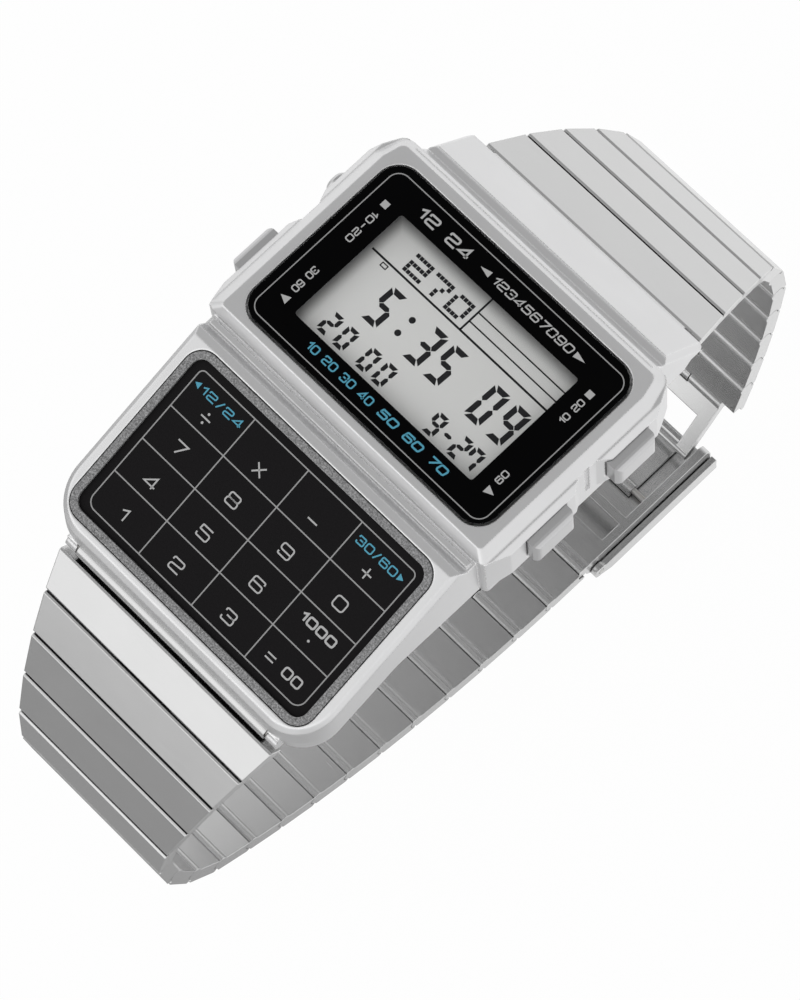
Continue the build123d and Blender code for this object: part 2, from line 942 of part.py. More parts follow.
def plate(start, length, half_width):
    """Outer plate of a link, with its two cross edges bevelled."""
    end = length - link_seam / 2
    bevel = link_edge_bevel
    points = [
        (start, -link_floor),
        (start, link_face - bevel),
        (start + bevel, link_face),
        (end - bevel, link_face),
        (end, link_face - bevel),
        (end, -link_floor),
    ]
    return local_prism(points, half_width)


def taper_mask(length, head, tail):
    """Plan outline of a link between the half widths at its two pins."""
    slope = (head - tail) / length
    reach = overrun / 2
    head_width = head + slope * reach
    tail_width = tail - slope * reach
    corners = [
        (-reach, head_width),
        (length + reach, tail_width),
        (length + reach, -tail_width),
        (-reach, -head_width),
    ]
    outline = make_face(Polyline(*corners, close=True))
    return extrude(Plane.XZ * outline, overrun, both=True)


def tail_knuckle(body, length):
    """Middle knuckle at the far pin, its bore, and room beside it for the next link's knuckles."""
    inner = knuckle_half_width - knuckle_side_gap / 2
    far_side = case_half_width
    body -= side_rods(relief_radius, length, 0, inner, far_side)
    body += local_rod(knuckle_radius, length, 0, inner)
    return body - local_rod(pin_radius + running_gap, length, 0, inner + knuckle_side_gap)


def head_knuckles(body, half_width):
    """Side knuckles at the near pin, room between them, and the pin that joins them."""
    inner = knuckle_half_width + knuckle_side_gap / 2
    body -= local_rod(relief_radius, 0, 0, inner)
    body += side_rods(knuckle_radius, 0, 0, inner, half_width)
    return body + local_rod(pin_radius, 0, 0, inner)


def middle_link(head, tail):
    body = plate(link_seam / 2, link_pitch, head)
    body = head_knuckles(body, head)
    body = tail_knuckle(body, link_pitch)
    return body & taper_mask(link_pitch, head, tail)


def end_link(bar, lip_groove, head, tail):
    """First link of a side: a plate with a narrower tube round the spring bar."""
    bar_u, bar_w = bar
    tube_radius = bar_radius + running_gap + tube_wall
    start = bar_u + tube_radius + lip_groove
    body = plate(start, link_pitch, head)
    body = tail_knuckle(body, link_pitch) & taper_mask(link_pitch, head, tail)
    web = [
        (bar_u, -link_floor),
        (bar_u, bar_w),
        (bar_u + tube_wall, bar_w),
        (start, web_top),
        (start + link_edge_bevel, web_top),
        (start + link_edge_bevel, -link_floor),
    ]
    body += local_prism(web, tube_half_width)
    body += local_rod(tube_radius, bar_u, bar_w, tube_half_width)
    return body - local_rod(bar_radius + running_gap, bar_u, bar_w, tube_half_width + overrun)


def bracelet_side(name, path, sense, bar, lip_groove, widths):
    pins, headings = path
    for index, heading in enumerate(headings):
        head, tail = widths[index], widths[index + 1]
        if index == 0:
            link = end_link(to_local(bar, pins[0], heading, sense), lip_groove, head, tail)
        else:
            link = middle_link(head, tail)
        node = f"{name}_link_{index + 1:02d}"
        parts[node] = link_plane(pins[index], heading, sense) * link


def spring_bars():
    reach = tube_half_width + ear_gap / 2
    tip_reach = reach + bar_tip_length
    bars = []
    for y, z in ((upper_bar_y, upper_bar_z), (lower_bar_y, lower_bar_z)):
        bar = cross_rod(bar_radius, y, z, -reach, reach)
        bars.append(bar + cross_rod(bar_tip_radius, y, z, -tip_reach, tip_reach))
    return Compound(children=bars)


# Clasp, in the frame of its first pin: X towards 12 o'clock, Y outwards, Z across

def clasp_plane():
    pins, headings = lower_path()
    return link_plane(pins[-1], headings[-1] + clasp_turn, 1)


def clasp_local(point):
    pins, headings = lower_path()
    return to_local(point, pins[-1], headings[-1] + clasp_turn, 1)


def clasp_frame():
    block = [
        (frame_block_start, -link_floor),
        (frame_block_start, link_face),
        (frame_block_start + frame_block_slope, frame_depth),
        (frame_block_start + frame_block_length, frame_depth),
        (frame_block_start + frame_block_length, -frame_top),
        (frame_block_start + link_floor, -frame_top),
    ]
    body = local_prism(block, frame_half_width)
    body = head_knuckles(body, frame_half_width)
    wall_start = frame_block_start + frame_block_length
    wall_length = frame_length - wall_start + frame_wall
    wall_x = wall_start - frame_wall + wall_length / 2
    wall_z = frame_half_width - frame_wall / 2
    wall = Box(wall_length, frame_depth + frame_top, frame_wall)
    wall = Pos(wall_x, (frame_depth - frame_top) / 2, wall_z) * wall
    far_corners = wall.edges().filter_by(Axis.Z).group_by(Axis.X)[-1]
    wall = fillet(far_corners, frame_wall)
    body += wall + mirror(wall, Plane.XY)
    bridge_n = -frame_top + strap_bridge_thickness / 2
    bridge = Box(strap_bridge_width, strap_bridge_thickness, 2 * frame_half_width)
    body += Pos(strap_bridge_s, bridge_n, 0) * bridge
    reach = frame_half_width + overrun
    body -= local_rod(clasp_pin_radius + press_gap, flap_hinge_s, flap_hinge_n, reach)
    return body - local_rod(clasp_pin_radius + press_gap, lever_pivot_s, lever_pivot_n, reach)


def clasp_flap():
    """Cover sheet with a flange down each side, pivoted at the 6 o'clock end."""
    low = frame_depth + flap_gap
    high = low + flap_thickness
    length = frame_length + flap_gap - flap_start
    flange_inner = frame_half_width + flap_gap
    flange = flap_half_width - flange_inner
    middle = flap_start + length / 2
    sheet = Pos(middle, (low + high) / 2, 0) * Box(length, flap_thickness, 2 * flap_half_width)
    flange_z = flange_inner + flange / 2
    flange_s = flap_hinge_s + (flap_start + length - flap_hinge_s) / 2
    side = Pos(flange_s, high - flap_flange_height / 2, flange_z)
    side = side * Box(flap_start + length - flap_hinge_s, flap_flange_height, flange)
    boss_face = Pos(flap_hinge_s, flap_hinge_n) * Circle(flap_hinge_radius)
    boss = Pos(0, 0, flange_inner) * extrude(boss_face, flange)
    heel = [
        (flap_hinge_s - overrun, flap_hinge_n),
        (flap_hinge_s, flap_hinge_n + flap_hinge_radius),
        (flap_start, high),
        (flap_start, high + overrun),
        (flap_hinge_s - overrun, high + overrun),
    ]
    side = (side + boss) - local_prism(heel, overrun + flap_half_width)
    side += boss
    body = sheet + side + mirror(side, Plane.XY)
    long_edges = body.edges().filter_by(Axis.X).group_by(Axis.Y)[-1]
    body = fillet(long_edges, flap_edge_round)
    reach = flap_half_width + overrun
    return body - local_rod(clasp_pin_radius + running_gap, flap_hinge_s, flap_hinge_n, reach)


def clasp_pins():
    flap_pin = local_rod(clasp_pin_radius, flap_hinge_s, flap_hinge_n, flap_half_width)
    lever_pin = local_rod(clasp_pin_radius, lever_pivot_s, lever_pivot_n, frame_half_width)
    return Compound(children=[flap_pin, lever_pin])


def catch_lever():
    """Rocking plate whose hooked end rises behind the catch link's bar."""
    hook_start = catch_bar_s + catch_bar_radius + lever_hook_gap
    end = hook_start + lever_hook_width
    outline = [
        (lever_pivot_s - lever_tail, lever_top_n),
        (hook_start, lever_top_n),
        (hook_start, lever_hook_tip_n),
        (end, lever_hook_tip_n),
        (end, lever_top_n + lever_thickness),
        (lever_pivot_s - lever_tail, lever_top_n + lever_thickness),
    ]
    body = local_prism(outline, lever_half_width)
    body += local_rod(lever_barrel_radius, lever_pivot_s, lever_pivot_n, lever_half_width)
    reach = lever_half_width + overrun
    return body - local_rod(clasp_pin_radius + running_gap, lever_pivot_s, lever_pivot_n, reach)


def catch_link():
    """Narrow end piece: knuckles at the bracelet's last pin, two arms and a cross bar."""
    pin = clasp_local(upper_path()[0][-1])
    ds = pin[0] - catch_bar_s
    dn = pin[1] - catch_bar_n
    length = math.hypot(ds, dn)
    heading = math.degrees(math.atan2(-dn, -ds))
    place = Plane(origin=(pin[0], pin[1], 0), x_dir=(math.cos(rad(heading)), math.sin(rad(heading)), 0))
    arm_z = catch_half_width - catch_arm_width / 2
    arm = Pos(length / 2, 0, arm_z) * Box(length, catch_arm_thickness, catch_arm_width)
    sheet = Pos(pin_radius + catch_sheet_length / 2, 0, 0)
    sheet = sheet * Box(catch_sheet_length, catch_arm_thickness, 2 * catch_half_width)
    body = sheet + arm + mirror(arm, Plane.XY)
    body = head_knuckles(body, catch_half_width)
    body += local_rod(catch_bar_radius, length, 0, catch_half_width)
    return place * body


def add_case():
    parts["case_body"] = case_body()
    parts["display_glass"] = display_glass()
    parts["keypad_ring"] = keypad_ring()
    parts["keypad_film"] = keypad_film()
    parts["key_mat"] = key_mat()
    parts["lcd_panel"] = lcd_panel()
    parts["lcd_connectors"] = lcd_connectors()
    parts["module_frame"] = module_frame()
    parts["circuit_board"] = circuit_board()
    parts["controller_chip"] = controller_chip()
    parts["quartz_crystal"] = quartz_crystal()
    parts["battery"] = battery()
    parts["battery_strap"] = battery_strap()
    parts["buzzer_disc"] = buzzer_disc()
    parts["case_back"] = case_back()
    parts["back_gasket"] = back_gasket()
    parts["case_back_screws"] = case_back_screws()
    for name, site in button_sites().items():
        parts[name] = button(*site)
    parts["button_springs"] = button_springs()
    parts["button_seals"] = button_seals()


def add_bracelet():
    upper_widths = half_widths(upper_end_half_width, upper_last_half_width, len(upper_turns))
    lower_widths = half_widths(lower_end_half_width, lower_last_half_width, len(lower_turns))
    parts["spring_bars"] = spring_bars()
    bracelet_side("upper", upper_path(), -1, (upper_bar_y, upper_bar_z), lip_groove_upper, upper_widths)
    bracelet_side("lower", lower_path(), 1, (lower_bar_y, lower_bar_z), lip_groove_lower, lower_widths)


def add_clasp():
    place = clasp_plane()
    parts["clasp_frame"] = place * clasp_frame()
    parts["clasp_flap"] = place * clasp_flap()
    parts["clasp_pins"] = place * clasp_pins()
    parts["catch_lever"] = place * catch_lever()
    parts["catch_link"] = place * catch_link()


add_case()
add_bracelet()
add_clasp()
for node, shape in parts.items():
    export_step(shape, f"parts/{node}.step")
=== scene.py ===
import math

import bmesh
import bpy
from mathutils import Matrix, Vector


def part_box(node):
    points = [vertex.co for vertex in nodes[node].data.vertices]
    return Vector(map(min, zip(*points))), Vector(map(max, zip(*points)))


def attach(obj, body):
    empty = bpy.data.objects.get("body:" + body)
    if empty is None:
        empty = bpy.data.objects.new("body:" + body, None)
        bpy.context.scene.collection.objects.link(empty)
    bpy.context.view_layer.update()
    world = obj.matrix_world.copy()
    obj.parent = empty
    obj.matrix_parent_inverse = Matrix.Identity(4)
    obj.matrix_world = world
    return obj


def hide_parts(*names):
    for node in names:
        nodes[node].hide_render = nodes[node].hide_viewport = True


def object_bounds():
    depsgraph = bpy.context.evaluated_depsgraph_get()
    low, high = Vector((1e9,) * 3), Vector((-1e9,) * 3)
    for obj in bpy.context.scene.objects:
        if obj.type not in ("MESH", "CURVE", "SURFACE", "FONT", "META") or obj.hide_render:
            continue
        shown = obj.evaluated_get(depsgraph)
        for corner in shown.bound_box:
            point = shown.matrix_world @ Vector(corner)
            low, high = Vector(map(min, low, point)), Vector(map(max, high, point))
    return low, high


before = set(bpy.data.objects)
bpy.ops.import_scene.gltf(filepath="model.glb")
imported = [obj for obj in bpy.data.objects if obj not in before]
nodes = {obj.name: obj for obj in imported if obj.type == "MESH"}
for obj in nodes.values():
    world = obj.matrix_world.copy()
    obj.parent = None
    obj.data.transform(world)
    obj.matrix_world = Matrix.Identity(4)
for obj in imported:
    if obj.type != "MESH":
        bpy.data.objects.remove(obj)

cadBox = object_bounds()
mm = 0.001
scene = bpy.context.scene
shadingSamples = 8  # readings taken for a softened edge or a darkened gap
edgeStarts, edgeFull = 0.995, 0.9  # cosine between rounded and flat face where wear starts and is full
print("frame loaded:", len(nodes), "nodes")


class Value:
    # wraps one output socket, so shader maths reads as plain expressions
    def __init__(self, finish, socket):
        self.finish = finish
        self.socket = socket

    def math(self, operation, first, second=None):
        inputs = {0: first} if second is None else {0: first, 1: second}
        return self.finish.node("ShaderNodeMath", {"operation": operation}, inputs)

    def __add__(self, other): return self.math("ADD", self, other)
    def __radd__(self, other): return self.math("ADD", other, self)
    def __sub__(self, other): return self.math("SUBTRACT", self, other)
    def __rsub__(self, other): return self.math("SUBTRACT", other, self)
    def __mul__(self, other): return self.math("MULTIPLY", self, other)
    def __rmul__(self, other): return self.math("MULTIPLY", other, self)
    def __truediv__(self, other): return self.math("DIVIDE", self, other)
    def __rtruediv__(self, other): return self.math("DIVIDE", other, self)
    def __pow__(self, other): return self.math("POWER", self, other)
    def __rpow__(self, other): return self.math("POWER", other, self)
    def __abs__(self): return self.math("ABSOLUTE", self)

    def atLeast(self, other): return self.math("MAXIMUM", self, other)
    def atMost(self, other): return self.math("MINIMUM", self, other)

    def swing(self, reach):
        # a noise has its middle at a half, so this goes as far above nought as below it
        return (self - 0.5) * reach

    def fade(self, low, high, atLow=0, atHigh=1):
        # smooth step between two levels
        return self.finish.node(
            "ShaderNodeMapRange", {"interpolation_type": "SMOOTHSTEP"},
            {"Value": self, "From Min": low, "From Max": high, "To Min": atLow, "To Max": atHigh})


class Finish:
    # one material, its principled shader and the nodes that feed it
    def __init__(self, name, **sockets):
        self.begin(bpy.data.materials.new(name), "Principled BSDF", "Object")
        self.set(**sockets)

    def begin(self, material, shader, place):
        self.material = material
        self.material.use_nodes = True
        self.tree = material.node_tree
        self.shader = self.tree.nodes[shader]
        self.place = self.node("ShaderNodeTexCoord", output=place)

    def node(self, kind, settings=None, sockets=None, output=0):
        made = self.tree.nodes.new(kind)
        for key, setting in (settings or {}).items():
            if key == "stops":
                self.stops(made.color_ramp, setting)
            else:
                setattr(made, key, setting)
        for key, value in (sockets or {}).items():
            self.feed(made.inputs[key], value)
        return Value(self, made.outputs[output])

    def stops(self, ramp, places):
        while len(ramp.elements) < len(places):
            ramp.elements.new(0.5)
        for element, (position, colour) in zip(ramp.elements, places):
            element.position = position
            element.color = (*colour, 1)

    def feed(self, socket, value):
        if isinstance(value, Value):
            self.tree.links.new(value.socket, socket)
        elif isinstance(value, tuple) and socket.type == "RGBA":
            socket.default_value = (*value, 1)
        else:
            socket.default_value = value

    def set(self, **sockets):
        for name, value in sockets.items():
            self.feed(self.shader.inputs[name.replace("_", " ")], value)

    def axes(self):
        split = self.node("ShaderNodeSeparateXYZ", sockets={0: self.place}).socket.node
        return [Value(self, output) for output in split.outputs]

    def noise(self, scale, detail=2, roughness=0.5, stretch=(1, 1, 1)):
        place = self.node("ShaderNodeVectorMath", {"operation": "MULTIPLY"}, {0: self.place, 1: stretch})
        return self.node(
            "ShaderNodeTexNoise", None,
            {"Vector": place, "Scale": scale, "Detail": detail, "Roughness": roughness})

    def blend(self, mask, below, above):
        # colours mix at this node's sockets 6 and 7, and leave at its output 2
        return self.node("ShaderNodeMix", {"data_type": "RGBA"}, {0: mask, 6: below, 7: above}, output=2)

    def relief(self, height, depth, under=None):
        sockets = {"Height": height, "Distance": depth, "Strength": 1}
        if under is not None:
            sockets["Normal"] = under
        return self.node("ShaderNodeBump", None, sockets)

    def softEdge(self, look):
        # shading normal of a rounded edge, and how far it turns from the flat face
        rounded = self.node("ShaderNodeBevel", {"samples": shadingSamples}, {"Radius": look["edgeRadius"]})
        flat = self.node("ShaderNodeNewGeometry", output="Normal")
        cosine = self.node(
            "ShaderNodeVectorMath", {"operation": "DOT_PRODUCT"}, {0: rounded, 1: flat}, "Value")
        return rounded, cosine.fade(edgeStarts, edgeFull)

    def wornAndHighlit(self, tone, edge, look):
        # the tone with a painted highlight along the rounded edges, which also stands for a little wear
        return self.blend(edge * look["edgeHighlightAndWear"], tone, look["edge"])

    def shadedInGaps(self, tone, look):
        # the tone with painted shade deep in a gap, where the occlusion reading finds the surface hemmed in
        opened = self.node(
            "ShaderNodeAmbientOcclusion", {"samples": shadingSamples}, {"Distance": look["gapReach"]}, "AO")
        return self.blend(opened.fade(look["gapDark"], look["gapLight"]), look["gap"], tone)


caseLook = {
    "metal": 0.78, "roughness": 0.33, "grainGloss": 0.12, "edgeGloss": 0.06,
    "shade": (0.74, 0.74, 0.745), "light": (0.8, 0.8, 0.805),
    # the edge colour and its share paint a highlight along the rounded edges, with a little wear
    "edge": (0.96, 0.96, 0.96), "edgeHighlightAndWear": 0.8, "edgeRadius": 0.24 * mm,
    "grainScale": 9000, "grainDepth": 0.001 * mm, "cloudScale": 160,
}


def satinCase(look):
    # sprayed silver over moulded resin: fine sparkle, edges painted brighter as a highlight with a little
    # wear
    made = Finish("satin silver case", Metallic=look["metal"])
    grain = made.noise(look["grainScale"], detail=3)
    rounded, edge = made.softEdge(look)
    tone = made.blend(made.noise(look["cloudScale"]), look["shade"], look["light"])
    # colour with a painted highlight along the edges
    made.set(Base_Color=made.wornAndHighlit(tone, edge, look))
    made.set(Roughness=look["roughness"] + grain.swing(look["grainGloss"]) - edge * look["edgeGloss"])
    made.set(Normal=made.relief(grain, look["grainDepth"], rounded))
    return made


satinSilver = satinCase(caseLook)

braceletLook = {
    "metal": 0.95, "roughness": 0.24, "lineGloss": 0.1, "cloudGloss": 0.08, "edgeGloss": 0.05,
    "shade": (0.6, 0.6, 0.6), "light": (0.69, 0.69, 0.69),
    # the edge colour and its share paint a highlight along the rounded edges, with a little wear
    "edge": (0.9, 0.9, 0.9), "edgeHighlightAndWear": 0.6, "edgeRadius": 0.12 * mm,
    # gap and the three keys after it paint shade into the gaps between links: its colour, how far the
    # occlusion reading looks, and the levels where it is full and where it ends
    "gap": (0.02, 0.02, 0.02), "gapReach": 0.6 * mm, "gapDark": 0.25, "gapLight": 0.75,
    "lineScale": 11000, "stretch": (0.03, 1, 1), "lineDepth": 0.0007 * mm, "cloudScale": 220,
}
claspLook = {**braceletLook, "roughness": 0.22}
backLook = {**braceletLook, "stretch": (1, 0.03, 1), "roughness": 0.32}


def brushedSteel(name, look):
    # sheet steel with fine lines drawn one way
    made = Finish(name, Metallic=look["metal"])
    lines = made.noise(look["lineScale"], detail=4, roughness=0.7, stretch=look["stretch"])
    cloud = made.noise(look["cloudScale"])
    rounded, edge = made.softEdge(look)
    # painted highlight along the edges, with a little wear
    tone = made.wornAndHighlit(made.blend(lines, look["shade"], look["light"]), edge, look)
    # painted shade in the gaps between parts
    made.set(Base_Color=made.shadedInGaps(tone, look))
    gloss = lines.swing(look["lineGloss"]) + cloud.swing(look["cloudGloss"]) - edge * look["edgeGloss"]
    made.set(Roughness=look["roughness"] + gloss)
    made.set(Normal=made.relief(lines, look["lineDepth"], rounded))
    return made


braceletSteel = brushedSteel("bracelet steel", braceletLook)
claspSteel = brushedSteel("clasp steel", claspLook)
backSteel = brushedSteel("case back steel", backLook)


def plainFinish(name, look):
    # one colour with a little mottling and grain
    made = Finish(name, Metallic=look["metal"])
    grain = made.noise(look["grainScale"], detail=3)
    made.set(Base_Color=made.blend(grain, look["shade"], look["light"]))
    made.set(Roughness=look["roughness"] + grain.swing(look["grainGloss"]))
    made.set(Normal=made.relief(grain, look["grainDepth"]))
    return made


buttonSilver = plainFinish("silver buttons", {
    "metal": 0.9, "shade": (0.6, 0.6, 0.605), "light": (0.65, 0.65, 0.655), "roughness": 0.3,
    "grainGloss": 0.1, "grainScale": 7000, "grainDepth": 0.0002 * mm})
rubberBlack = plainFinish("black rubber", {
    "metal": 0, "shade": (0.02, 0.02, 0.02), "light": (0.04, 0.04, 0.04), "roughness": 0.7,
    "grainGloss": 0.1, "grainScale": 4000, "grainDepth": 0.004 * mm})
modulePlastic = plainFinish("module plastic", {
    "metal": 0, "shade": (0.05, 0.05, 0.05), "light": (0.09, 0.09, 0.09), "roughness": 0.5,
    "grainGloss": 0.1, "grainScale": 3000, "grainDepth": 0.002 * mm})
boardGreen = plainFinish("green board", {
    "metal": 0, "shade": (0.01, 0.09, 0.04), "light": (0.02, 0.15, 0.07), "roughness": 0.35,
    "grainGloss": 0.1, "grainScale": 900, "grainDepth": 0.001 * mm})
chipBlack = plainFinish("black chip", {
    "metal": 0, "shade": (0.015, 0.015, 0.017), "light": (0.03, 0.03, 0.033), "roughness": 0.55,
    "grainGloss": 0.1, "grainScale": 5000, "grainDepth": 0.002 * mm})
innerMetal = plainFinish("inner metal", {
    "metal": 1, "shade": (0.6, 0.59, 0.57), "light": (0.72, 0.71, 0.69), "roughness": 0.3,
    "grainGloss": 0.1, "grainScale": 2500, "grainDepth": 0.001 * mm})
buzzerBrass = plainFinish("brass disc", {
    "metal": 1, "shade": (0.6, 0.44, 0.2), "light": (0.72, 0.55, 0.28), "roughness": 0.3,
    "grainGloss": 0.1, "grainScale": 1800, "grainDepth": 0.001 * mm})

ringLook = {
    "metal": 0.2, "roughness": 0.5, "speckGloss": 0.3, "speckScale": 6500, "speckDepth": 0.01 * mm,
    # the edge colour and its share paint a highlight along the rounded edges, with a little wear
    "edge": (0.5, 0.5, 0.5), "edgeHighlightAndWear": 0.4, "edgeRadius": 0.08 * mm,
    # gap and the three keys after it paint shade into the gaps around the ring: its colour, how far the
    # occlusion reading looks, and the levels where it is full and where it ends
    "gap": (0.02, 0.02, 0.02), "gapReach": 0.35 * mm, "gapDark": 0.35, "gapLight": 0.8,
    "stops": [(0.36, (0.08, 0.08, 0.082)), (0.5, (0.23, 0.23, 0.233)), (0.64, (0.46, 0.46, 0.465))],
}


def speckledRing(look):
    made = Finish("speckled grey ring", Metallic=look["metal"])
    speck = made.noise(look["speckScale"], detail=4, roughness=0.8)
    rounded, edge = made.softEdge(look)
    # painted highlight along the edges, with a little wear
    tone = made.wornAndHighlit(made.node("ShaderNodeValToRGB", {"stops": look["stops"]}, {0: speck}), edge, look)
    # painted shade in the gaps around the ring
    made.set(Base_Color=made.shadedInGaps(tone, look))
    made.set(Roughness=look["roughness"] + speck.swing(look["speckGloss"]))
    made.set(Normal=made.relief(speck, look["speckDepth"], rounded))
    return made


ringGrey = speckledRing(ringLook)

filmLook = {
    "shade": (0.006, 0.0055, 0.006), "light": (0.013, 0.012, 0.013), "roughness": 0.52, "shine": 0.06,
    "grainGloss": 0.2, "grainScale": 8000, "grainShare": 0.5, "cellScale": 5200, "grainDepth": 0.004 * mm,
}


def grainedFilm(look):
    made = Finish("black keypad film", Specular_IOR_Level=look["shine"])
    grain = made.noise(look["grainScale"], roughness=0.6)
    cells = made.node(
        "ShaderNodeTexVoronoi", None, {"Vector": made.place, "Scale": look["cellScale"]}, "Distance")
    made.set(Base_Color=made.blend(grain, look["shade"], look["light"]))
    made.set(Roughness=look["roughness"] + grain.swing(look["grainGloss"]))
    made.set(Normal=made.relief(cells + grain * look["grainShare"], look["grainDepth"]))
    return made


filmBlack = grainedFilm(filmLook)

# black print over a clear window, which is cut to the shape that shows the display
glassLook = {
    "left": -10.38 * mm, "right": 10.64 * mm, "foot": -6.6 * mm, "top": 5.86 * mm,
    "corner": 0.3 * mm, "blur": 0.03 * mm, "skin": 0.03 * mm, "skinBlur": 0.01 * mm,
    "clear": 0.04, "roughness": 0.08, "shine": 0.04, "mistScale": 260,
    "shade": (0.0008, 0.0008, 0.001), "light": (0.0014, 0.0014, 0.0016),
}


def windowGlass(look):
    made = Finish("window glass", Roughness=look["roughness"], Specular_IOR_Level=look["shine"])
    x, y, z = made.axes()
    corner, blur = look["corner"], look["blur"]
    halfX = (look["right"] - look["left"]) / 2 - corner
    halfY = (look["top"] - look["foot"]) / 2 - corner
    outX = (abs(x - (look["left"] + look["right"]) / 2) - halfX).atLeast(0)
    outY = (abs(y - (look["foot"] + look["top"]) / 2) - halfY).atLeast(0)
    away = (outX * outX + outY * outY) ** 0.5
    printed = away.fade(corner - blur, corner + blur)
    # only the top face carries the print, so the edge below it doesn't close the window again
    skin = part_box("display_glass")[1][2] - look["skin"]
    onTop = z.fade(skin, skin + look["skinBlur"])
    made.set(Base_Color=made.blend(made.noise(look["mistScale"]), look["shade"], look["light"]))
    made.set(Alpha=(printed * onTop).atLeast(look["clear"]))
    return made


blackGlass = windowGlass(glassLook)

panelLook = {
    "shade": (0.84, 0.845, 0.83), "light": (0.94, 0.945, 0.93), "roughness": 0.42, "mottleGloss": 0.05,
    "mottleScale": 1400, "mottleDepth": 0.001 * mm, "spanX": 24 * mm, "spanY": 20 * mm, "slopeShare": 0.8,
    # the deep window shades the panel along its left and top edges
    "edgeShade": (0.3, 0.3, 0.3), "edgeLeft": -10.9 * mm, "edgeTop": 6.4 * mm, "edgeReach": 1.5 * mm,
}


def displayPanel(look):
    made = Finish("display panel")
    x, y = made.axes()[:2]
    mottle = made.noise(look["mottleScale"], detail=3)
    # painted shade: the panel is darker towards its right and top, mixed with mottling
    slope = (x / look["spanX"] + y / look["spanY"] + 0.5).atLeast(0).atMost(1)
    mask = slope * look["slopeShare"] + mottle * (1 - look["slopeShare"])
    tone = made.blend(mask, look["light"], look["shade"])
    fromLeft = (x - look["edgeLeft"]).fade(0, look["edgeReach"])
    fromTop = (look["edgeTop"] - y).fade(0, look["edgeReach"])
    made.set(Base_Color=made.blend(fromLeft.atMost(fromTop), look["edgeShade"], tone))
    made.set(Roughness=look["roughness"] + mottle * look["mottleGloss"])
    made.set(Normal=made.relief(mottle, look["mottleDepth"]))
    return made


panelGrey = displayPanel(panelLook)

finishOf = {
    "case_body": satinSilver, "display_glass": blackGlass, "keypad_ring": ringGrey,
    "keypad_film": filmBlack, "key_mat": rubberBlack, "lcd_panel": panelGrey,
    "lcd_connectors": rubberBlack, "module_frame": modulePlastic, "circuit_board": boardGreen,
    "controller_chip": chipBlack, "quartz_crystal": innerMetal, "battery": innerMetal,
    "battery_strap": innerMetal, "buzzer_disc": buzzerBrass, "case_back": backSteel,
    "back_gasket": rubberBlack, "case_back_screws": innerMetal, "button_springs": innerMetal,
    "button_seals": rubberBlack, "spring_bars": innerMetal, "clasp_pins": innerMetal,
}
finishOfGroup = {
    "button_": buttonSilver, "upper_link": braceletSteel, "lower_link": braceletSteel,
    "clasp_": claspSteel, "catch_": claspSteel,
}


def finishFor(name):
    if name in finishOf:
        return finishOf[name]
    return next(finish for start, finish in finishOfGroup.items() if name.startswith(start))


for name, carried in nodes.items():
    for place in carried.material_slots:
        place.material = finishFor(name).material
print("finishes set on the carried-over parts")


def addPiece(made, name, finish):
    # turns the built mesh into an object of the scene, with one finish
    mesh = bpy.data.meshes.new(name)
    made.to_mesh(mesh)
    made.free()
    mesh.materials.append(finish.material)
    piece = bpy.data.objects.new(name, mesh)
    scene.collection.objects.link(piece)
    return piece


# caps with wider flats and rounder outer edges than the plain solids
buttonShape = {
    "names": ("button_right_upper", "button_right_lower", "button_left_lower"),
    "capDepth": 2.3 * mm, "round": 0.55 * mm, "roundSteps": 4,
    "stemRadius": 0.5 * mm, "collarRadius": 0.8 * mm, "collarThickness": 0.3 * mm, "turnSteps": 32,
}


def addRod(made, radius, start, end, y, z, steps):
    turned = Matrix.Translation(((start + end) / 2, y, z)) @ Matrix.Rotation(math.pi / 2, 4, "Y")
    bmesh.ops.create_cone(
        made, cap_ends=True, segments=steps, radius1=radius, radius2=radius, depth=abs(end - start),
        matrix=turned)


def pushButton(name, look):
    low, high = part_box(name)
    side = 1 if high[0] > 0 else -1
    face, inner = (high[0], low[0]) if side > 0 else (low[0], high[0])
    root = face - side * look["capDepth"]
    middle = (face + root) / 2
    y, z = (low[1] + high[1]) / 2, (low[2] + high[2]) / 2
    made = bmesh.new()
    size = Matrix.Diagonal((look["capDepth"], high[1] - low[1], high[2] - low[2], 1))
    bmesh.ops.create_cube(made, size=1, matrix=Matrix.Translation((middle, y, z)) @ size)
    outer = [edge for edge in made.edges if all(side * (point.co.x - middle) > 0 for point in edge.verts)]
    bmesh.ops.bevel(
        made, geom=outer, offset=look["round"], segments=look["roundSteps"], profile=0.5, affect="EDGES")
    addRod(made, look["stemRadius"], root, inner, y, z, look["turnSteps"])
    collarEnd = inner + side * look["collarThickness"]
    addRod(made, look["collarRadius"], collarEnd, inner, y, z, look["turnSteps"])
    piece = addPiece(made, name + "_rounded", buttonSilver)
    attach(piece, name)
    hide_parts(name)


for name in buttonShape["names"]:
    pushButton(name, buttonShape)
print("button caps made")

inkLook = {"roughness": 0.5, "shine": 0.2, "paler": 1.12, "grainGloss": 0.1, "grainScale": 3000}


def inkFinish(name, colour, look):
    made = Finish(name, Specular_IOR_Level=look["shine"])
    grain = made.noise(look["grainScale"])
    paler = tuple(min(1, part * look["paler"]) for part in colour)
    made.set(Base_Color=made.blend(grain, colour, paler))
    made.set(Roughness=look["roughness"] + grain * look["grainGloss"])
    return made


whiteInk = inkFinish("white print", (0.46, 0.46, 0.46), inkLook)
softInk = inkFinish("grey print", (0.33, 0.33, 0.33), inkLook)
blueInk = inkFinish("blue print", (0.09, 0.35, 0.48), inkLook)
segmentInk = inkFinish("display segments", (0.02, 0.02, 0.022), {**inkLook, "roughness": 0.4})


def rectangle(left, foot, right, top):
    return [(left, foot), (right, foot), (right, top), (left, top)]


